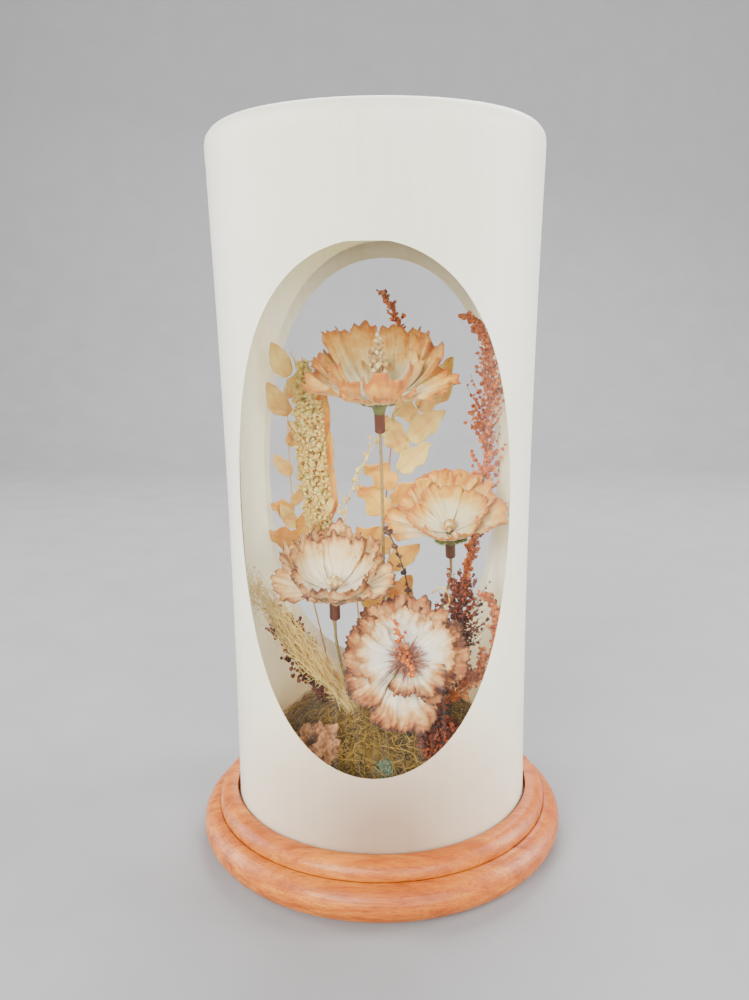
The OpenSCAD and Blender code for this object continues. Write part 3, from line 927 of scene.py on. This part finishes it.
RIGHT_FLOWER = {
    "outer": [
        fan(96, 44, 19, 13, (0.6, 0.3), 1.1), fan(48, 40, 19, 12, (0.6, 0.3), 1.0),
        fan(0, 38, 19, 9, (0.6, 0.35), 1.0), fan(-60, 38, 11, 8, (0.8, 0.35), 0.7),
        fan(-120, 38, 11, 7.5, (0.8, 0.35), 0.7), fan(180, 30, 22, 6, (0.6, 0.5), 0.8),
        fan(142, 38, 18, 10, (0.6, 0.3), 1.0)],
    "inner": [
        fan(105, 42, 14, 9.5, (0.6, 0.3), 0.8), fan(30, 40, 14, 9, (0.6, 0.3), 0.9),
        fan(-35, 38, 11, 7, (0.8, 0.2), 0.9), fan(172, 38, 14, 7, (0.6, 0.3), 0.8)]}
LEFT_FLOWER = {
    "outer": [
        fan(92, 36, 18, 14, (0.75, 0.15), 1.4), fan(45, 36, 18, 11, (0.65, 0.2), 1.3),
        fan(-8, 36, 20, 6, (0.55, 0.5), 1.1), fan(-60, 38, 15, 6, (0.7, 0.15), 0.9),
        fan(-114, 40, 14, 6, (0.7, 0.15), 1.0), fan(-164, 36, 20, 5.5, (0.55, 0.4), 1.1),
        fan(146, 38, 19, 11, (0.65, 0.2), 1.3)],
    "inner": [
        fan(80, 40, 14, 12, (0.85, 0.1), 1.2, teeth=5),
        fan(12, 40, 14, 9, (0.9, 0.1), 1.1),
        fan(-60, 44, 13, 8.5, (0.95, 0.1), 1.1, tint=0.08),
        fan(-138, 40, 14.5, 9, (0.9, 0.1), 1.1, tint=0.08),
        fan(152, 38, 14, 11.5, (0.85, 0.1), 1.3, teeth=4)]}
FRONT_FLOWER = {
    "outer": [
        fan(112, 40, 20.5, 6.5, (0.5, 0.5), 1.0, pleat=0.5),
        fan(58, 40, 20.5, 6.5, (0.5, 0.5), 1.0, pleat=0.5),
        fan(8, 36, 20, 6.5, (0.5, 0.5), 1.1, pleat=0.6),
        fan(-40, 30, 16.5, 6, (0.5, 0.6), 1.5, pleat=0.7),
        fan(-92, 34, 23.5, 1, (0.55, 1), 1.3, pleat=0.7),
        fan(-150, 28, 21, 3, (0.5, 0.5), 1.4, pleat=0.5),
        fan(166, 38, 20, 6.5, (0.5, 0.5), 1.0, pleat=0.6)],
    "inner": [
        fan(100, 50, 16, 7, (0.5, 0.5), 0.9, tint=-0.22, pleat=0.8),
        fan(26, 46, 16, 7, (0.5, 0.5), 1.0, tint=-0.18, pleat=0.8),
        fan(-40, 34, 14, 9, (0.6, 0.4), 1.7, tint=0.02, pleat=0.9, teeth=5),
        fan(-96, 28, 11.5, 6.5, (0.6, 0.4), 1.6, tint=0.0, pleat=0.8, teeth=5),
        fan(170, 48, 15.5, 7, (0.5, 0.5), 1.0, tint=-0.2, pleat=0.8)]}


def make_flowers():
    for name, *petals in (("top", "peach", TOP_FLOWER, 31), ("right", "peach", RIGHT_FLOWER, 32),
                          ("left", "cream", LEFT_FLOWER, 33), ("front", "rust", FRONT_FLOWER, 34)):
        make_petals(name, *petals)
        make_flower_parts(name)
    make_centre("top", "stamen", 25, 44, 41)
    make_centre("right", "stamen", 6, 14, 42)
    make_centre("left", "stamen", 6, 14, 43)
    make_centre("front", "fibre", 9, 340, 44, bristles=True)


# -------- dried plants

def sprig(form, node, rng, every, bud, per_twig, reach=1.7, long=1.0, bare=0.75, stem=0.35, fine=True,
          fuller=0.0):
    """A stem with side twigs that carry buds wherever the frame's rod is thicker than bare."""
    path, girth = resampled(node)
    tangents, u, v = frames_along(path)
    form.tube(path, np.linspace(stem, stem * 0.5, len(path)), 7, 0.3)
    step = np.linalg.norm(path[1] - path[0])
    at, buds, sizes = 0.0, [], []
    while at < (len(path) - 1) * step:
        k = int(at / step)
        if girth[k] > bare:
            turn = rng.random() * TAU
            out = math.cos(turn) * u[k] + math.sin(turn) * v[k]
            low_down = math.sin(math.pi * min(1.6 * (1 - k / len(path)), 1.0))
            length = girth[k] * (reach + fuller * low_down) * rng.uniform(0.4, 1.15)
            s = steps(5)
            lean = rng.uniform(0.5, 1.4)
            twig = path[k] + length * (out * s + tangents[k] * lean * s**1.4)
            form.tube(twig + 0.15 * rng.normal(size=3) * s, 0.15 * (1 - 0.4 * s[:, 0]), 4, 0.35)
            for j in range(per_twig):
                share = (j + rng.random()) / per_twig
                spot = path[k] + length * (out * share + tangents[k] * lean * share**1.4)
                buds.append(spot + 0.45 * bud * rng.normal(size=3))
                sizes.append(bud * rng.uniform(0.6, 1.25) * np.array([1, rng.uniform(0.7, 1), long]))
        at += every * rng.uniform(0.5, 1.5)
    count = len(buds)
    form.blobs(buds, sizes, random_turns(rng, count), rng, 0.25, fine, rng.random(count))


def leaf(form, foot, along, facing, length, width, rng, lobes=0, curl=0.2, shade=0.5):
    """A dried leaf from its foot, with lobes along its sides."""
    along, facing = unit(along), unit(facing - np.dot(facing, unit(along)) * unit(along))
    side = np.cross(along, facing)
    s = steps(28)
    t = np.linspace(-1, 1, 11)[None, :]
    outline = np.sin(math.pi * np.clip(s * 0.97 + 0.03, 0, 1) ** 0.75) ** 0.75
    if lobes:
        outline = outline * (0.7 + 0.3 * np.sin(math.pi * (lobes * s + 0.3 * np.tanh(3 * t))) ** 2)
    across = width * outline * t + 0.12 * width * wobble(rng, s)
    out = length * (curl * s**2 + 0.05 * wobble(rng, s, 3))
    out = out + width * (0.25 * np.abs(t) ** 1.5 * outline + 0.12 * wobble(rng, s + 0.3 * t, 3, 1.4))
    points = foot + along * (length * s)[..., None] + side * across[..., None] + facing * out[..., None]
    midrib = 0.25 * (np.abs(t) < 0.12)
    form.sheet(points, 0.18, np.clip(shade + 0.25 * wobble(rng, s, 3) - midrib, 0, 1))


def leafy(form, node, rng, spots, lengths, width, lobes, stem=0.35, lean=0.8):
    """A stem with leaves at shares of its length: (share, heading in degrees, size)."""
    path = resampled(node)[0]
    tangents = frames_along(path)[0]
    form.tube(path, np.linspace(stem, stem * 0.5, len(path)), 7, 0.25)
    for share, heading, size in spots:
        k = int(share * (len(path) - 1))
        along = compass(heading) + lean * rng.uniform(0.7, 1.3) * tangents[k]
        facing = np.array([0.3 * rng.normal(), -1, 0.3 * rng.normal()])
        leaf(form, path[k], along, facing, lengths * size, width * size, rng, lobes,
             rng.uniform(-0.1, 0.3), rng.uniform(0.35, 0.8))


def make_spike():
    rng = default_rng(51)
    form = Form()
    path, girth = resampled("blossom_spike")
    form.tube(path, np.linspace(0.5, 0.3, len(path)), 7, 0.2)
    grown = np.flatnonzero(girth > 1.0)
    u, v = frames_along(path)[1:]
    count = 2800
    k = rng.choice(grown, count, p=girth[grown] / girth[grown].sum())
    turn, out = rng.random(count) * TAU, rng.random(count) ** 0.4
    width = (girth[k] * 1.45 * out * rng.uniform(0.85, 1.15, count))[:, None]
    spots = path[k] + width * (np.cos(turn)[:, None] * u[k] + np.sin(turn)[:, None] * v[k])
    spots += rng.normal(size=(count, 3)) * 0.3
    # painted shade: blossoms deep in the spike are darker and those at its outside lighter, with random
    # tone on top
    form.blobs(spots, rng.uniform(0.35, 0.95, (count, 3)), random_turns(rng, count), rng, 0.25, False,
               0.25 + 0.75 * out * rng.random(count))
    form.part = 2
    for share in (0.3, 0.45, 0.6, 0.75):
        k = grown[int(share * len(grown))]
        leaf(form, path[k] + [2.6, 1.5, 0], np.array([0.12, 0.05, 1.0]), np.array([0.2, -1, 0]),
             22, 2.6, rng, 0, 0.05, 0.5)
    form.part = 1
    for _ in range(12):
        k = grown[int(rng.random() * len(grown))]
        heading = rng.choice([20, 160, 200, -20, -90]) + rng.normal() * 20
        out = compass(heading)
        leaf(form, path[k] + out * girth[k], out + 1.5 * np.array([0, 0, 1]), rng.normal(size=3),
             rng.uniform(5, 8), rng.uniform(1.4, 2.2), rng, 0, 0.25, rng.uniform(0.4, 0.9))
    form.piece("blossom_spike_growth", ["blossom", "pale_leaf", "amber_leaf"], "blossom_spike")


def make_leaves():
    rng = default_rng(52)
    form = Form()
    spots = [(0.6, 200, 1.0), (0.66, -10, 0.8), (0.74, 186, 1.0), (0.82, 8, 1.1), (0.9, 170, 1.35),
             (0.95, 4, 1.0), (1.0, 150, 1.35)]
    leafy(form, "left_leaf_spray", rng, spots, 10, 2.7, 0, lean=1.7)
    form.part = 1
    path = resampled("left_leaf_spray")[0]
    for share, heading, size in ((0.56, 190, 1.3), (0.6, -30, 1.3), (0.64, 170, 1.0)):
        leaf(form, path[int(share * (len(path) - 1))], compass(heading, 0.3), np.array([0, -1, 0.4]),
             9 * size, 3.6 * size, rng, 2, 0.1, 0.7)
    form.piece("left_leaf_growth", ["pale_leaf", "amber_leaf"], "left_leaf_spray")
    form = Form()
    spots = [(0.15, 195, 1.1), (0.19, -20, 1.2), (0.24, 170, 1.4), (0.29, 10, 1.4), (0.34, 185, 1.3),
             (0.39, -15, 1.3), (0.44, 175, 1.3), (0.49, 5, 1.2), (0.54, 190, 1.3), (0.59, -10, 1.4),
             (0.64, 178, 1.4), (0.68, 5, 1.4), (0.72, 190, 1.3)]
    leafy(form, "right_leaf_spray", rng, spots, 11.5, 3.9, 2, lean=1.0)
    form.part = 1
    spots = [(0.77, 0, 1.3), (0.82, 185, 1.3), (0.86, -5, 1.4), (0.91, 175, 1.2), (0.95, 10, 1.5),
             (1.0, 60, 1.3)]
    leafy(form, "right_leaf_spray", rng, spots, 12, 3.6, 2, lean=1.3)
    form.piece("right_leaf_growth", ["amber_leaf", "pale_leaf"], "right_leaf_spray")


SPRIGS = {                   # each with its look, its slot and what sprig() takes
    "top_seed_sprig": ("rusty", "rusty_seed", dict(every=0.7, bud=0.6, per_twig=5)),
    "right_seed_sprig": ("rusty", "rusty_seed", dict(every=0.5, bud=0.64, per_twig=7, fuller=2.6)),
    "low_seed_sprig": ("rusty", "rusty_seed", dict(every=0.5, reach=2.2, bud=0.6, per_twig=5)),
    "left_seed_sprig": ("dark_seed", "rusty_seed", dict(every=0.3, reach=2.9, bud=0.58, per_twig=11)),
    "dark_seed_head": ("dark_seed", "dark_seed",
                       dict(every=0.22, reach=2.3, bud=0.62, per_twig=6, fine=False)),
    "pale_bud_sprig": ("pale_bud", "pale_bud",
                       dict(every=2.6, reach=2.6, bud=0.5, long=2.2, per_twig=3)),
    "budded_twig": ("twig", "dark_twig",
                    dict(every=4.0, reach=2.2, bud=0.8, per_twig=2, bare=0.0, stem=0.42)),
    "tucked_seed_sprig": ("rusty", "rusty_seed",
                          dict(every=0.9, reach=2.6, bud=0.55, bare=0.4, per_twig=3))}


def make_sprigs():
    for seed, (node, (look, slot, settings)) in enumerate(SPRIGS.items(), 60):
        form = Form()
        sprig(form, node, default_rng(seed), **settings)
        form.piece(f"{node}_growth", look, node)


def make_straw():
    rng = default_rng(71)
    path, girth = resampled("straw_bundle", 60)
    end = frames_along(path)[0][-1] + [-0.15, 0, 0.05]
    path = np.concatenate([path, path[-1] + end * np.linspace(0.7, 9, 12)[:, None]])
    girth = np.concatenate([girth, girth[-1] * np.linspace(1, 1.7, 12)])
    tangents, u, v = frames_along(path)
    form = Form()
    for _ in range(130):
        turn, out = rng.random() * TAU, math.sqrt(rng.random())
        first = int(rng.uniform(0, 18))
        last = int(rng.uniform(36, len(path)))
        k = np.arange(first, last, 2)
        s = steps(len(k))
        twist = turn + rng.normal() * 1.6 * s
        off = (girth[k] * 1.3)[:, None] * out * (1 + 0.7 * s**2)
        points = path[k] + off * (np.cos(twist) * u[k] + np.sin(twist) * v[k])
        frizz = (1.2 + 5 * rng.random() ** 2 * s) * s
        points = points + frizz * wander(rng, s, 5, 2.5)
        form.tube(points, rng.uniform(0.08, 0.24) * (1 - 0.6 * s[:, 0]), 5, rng.random())
    for _ in range(260):
        k = int(rng.uniform(22, len(path) - 1))
        s = steps(9)
        length = rng.uniform(2.5, 9)
        heading = unit(0.7 * tangents[k] + 1.3 * rng.normal(size=3))
        points = path[k] + length * heading * s + girth[k] * rng.normal(size=3) * 0.6
        points = points + 1.5 * wander(rng, s, 3, 1.2) * s
        form.tube(points, 0.14 * (1 - 0.4 * s[:, 0]), 4, 0.6 + 0.4 * rng.random())
    form.piece("straw_bundle_strands", "straw", "straw_bundle")
    form = Form()
    path = resampled("curled_tendril", 90)[0]
    k = np.arange(len(path))
    form.tube(path, np.linspace(0.6, 0.28, len(path)) * (1 + 0.08 * np.sin(k * 1.3)), 8,
              0.5 + 0.3 * np.sin(k * 0.7))
    form.piece("curled_tendril_stem", "straw", "curled_tendril")


for make in (make_camera, make_lights, make_floor, make_dome, make_base, make_foam, make_moss,
             make_lumps, make_flowers, make_spike, make_leaves, make_sprigs, make_straw):
    make()
